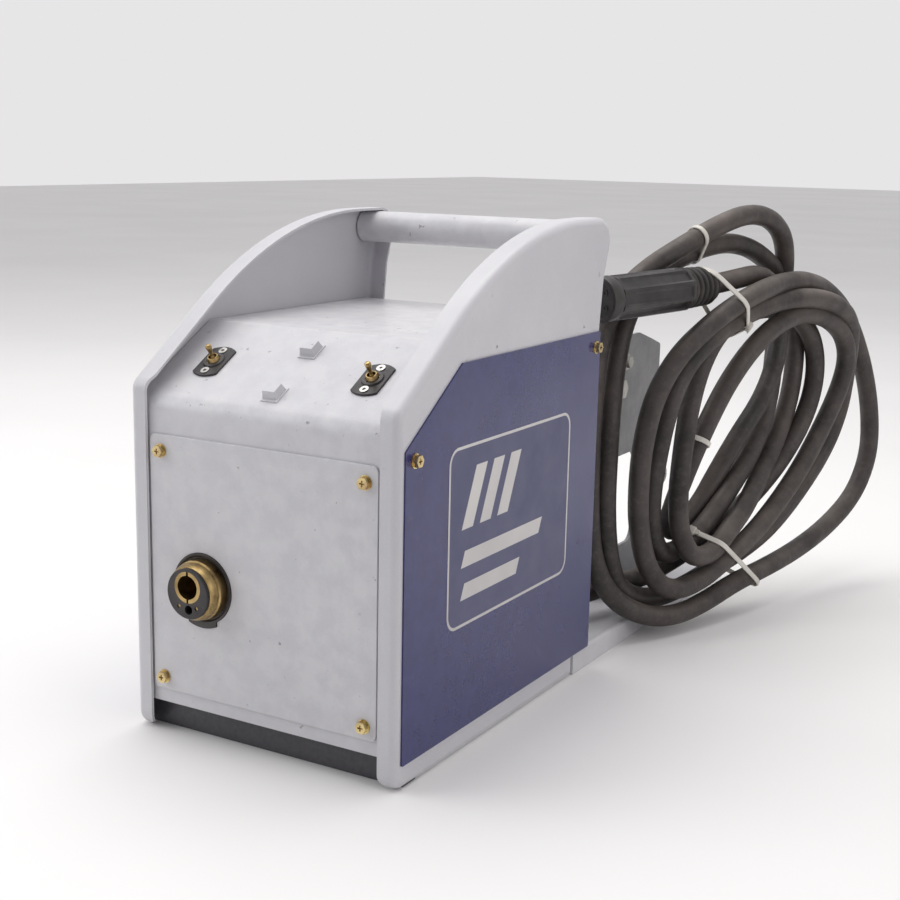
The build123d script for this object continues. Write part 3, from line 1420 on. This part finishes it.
lead_route = [
    (GLAND_AT[0], back(LUG_END), GLAND_AT[1]),
    (GLAND_AT[0], back(338), GLAND_AT[1] + 0.4),
    (89, back(388), 40),
    (113, back(430), 37),
]
with BuildPart() as power_cable:
    add(cord_tube(lead_route, CABLE_R))
save(power_cable, "power_cable")


def in_coil(along_s, z, out=0.0):
    """Model position of a point given along the coil's plane, above the ground and out of the plane."""
    point = coil_plane.from_local_coords((along_s, z, out))
    return (point.X, point.Y, point.Z)


PLUG_FACE = -71.4
PLUG_END = 35.6
COLLAR_END = 77.6
RELIEF_LONG = 7.0
PLUG_Z = (309.2, 314.6)
tail_route = [
    in_coil(COLLAR_END, PLUG_Z[1], PLUG_OUT),
    in_coil(134, 320, PLUG_OUT),
    in_coil(176, 322, PLUG_OUT),
    in_coil(214, 308, PLUG_OUT - 2),
]
with BuildPart() as power_cable_tail:
    add(cord_tube(tail_route, CABLE_R))
save(power_cable_tail, "power_cable_tail")

plug_lean = math.atan2(PLUG_Z[1] - PLUG_Z[0], COLLAR_END - PLUG_FACE)
plug_dir = Vector(
    along[0] * math.cos(plug_lean), along[1] * math.cos(plug_lean), math.sin(plug_lean)
)
plug_face = Plane(
    origin=in_coil(PLUG_FACE, PLUG_Z[0], PLUG_OUT), x_dir=coil_plane.z_dir, z_dir=plug_dir
)
with BuildPart() as cable_plug:
    with BuildSketch(plug_face):
        Circle(PLUG_R + 1.3)
    extrude(amount=RING_LONG)
    with BuildSketch(plug_face.offset(RING_LONG)):
        RegularPolygon(PLUG_R, 8, major_radius=False, rotation=22.5)
    extrude(amount=PLUG_END - PLUG_FACE - RING_LONG)
    with BuildSketch(plug_face):
        Circle(PLUG_R - 3)
    extrude(amount=2, mode=Mode.SUBTRACT)
    with BuildSketch(plug_face):
        with PolarLocations(9.0, 4):
            Circle(1.7)
    extrude(amount=12, mode=Mode.SUBTRACT)
save(cable_plug, "cable_plug")

with BuildPart() as plug_collar:
    with BuildSketch(plug_face.offset(PLUG_END - PLUG_FACE)):
        Circle(PLUG_R)
    extrude(amount=COLLAR_END - PLUG_END - RELIEF_LONG, taper=2)
    with BuildSketch(plug_face.offset(COLLAR_END - PLUG_FACE - RELIEF_LONG)):
        Circle(PLUG_R - 2)
    extrude(amount=RELIEF_LONG, taper=38)
save(plug_collar, "plug_collar")

TIE_WIDE = 4.8
TIE_THICK = 1.4


def tie_band(middle, out, lean, half_in, half_out):
    """A cable tie: an upright band round the strands, leaning in the coil's plane, with its head."""
    turn = math.radians(lean)
    run = Vector(*along) * math.cos(turn) + Vector(0, 0, math.sin(turn))
    plane = Plane(origin=in_coil(middle[0], middle[1], out), x_dir=coil_plane.z_dir, z_dir=run)
    with BuildPart(mode=Mode.PRIVATE) as band:
        with BuildSketch(plane.offset(-TIE_WIDE / 2)):
            RectangleRounded(2 * half_out + 2 * TIE_THICK, 2 * half_in + 2 * TIE_THICK, 9)
            RectangleRounded(2 * half_out, 2 * half_in, 8, mode=Mode.SUBTRACT)
        extrude(amount=TIE_WIDE)
        with BuildSketch(plane.offset(-4)):
            with Locations((half_out - 6, half_in + TIE_THICK + 2)):
                Rectangle(8, 5)
        extrude(amount=8)
    return band.part


with BuildPart() as cable_ties:
    add(tie_band((128, 45), 0, 0, 29, 29))
    add(tie_band((108, 290), 2, 51, 46, 29))
    add(tie_band((82, 362), -15, 14, 20, 12))
save(cable_ties, "cable_ties")
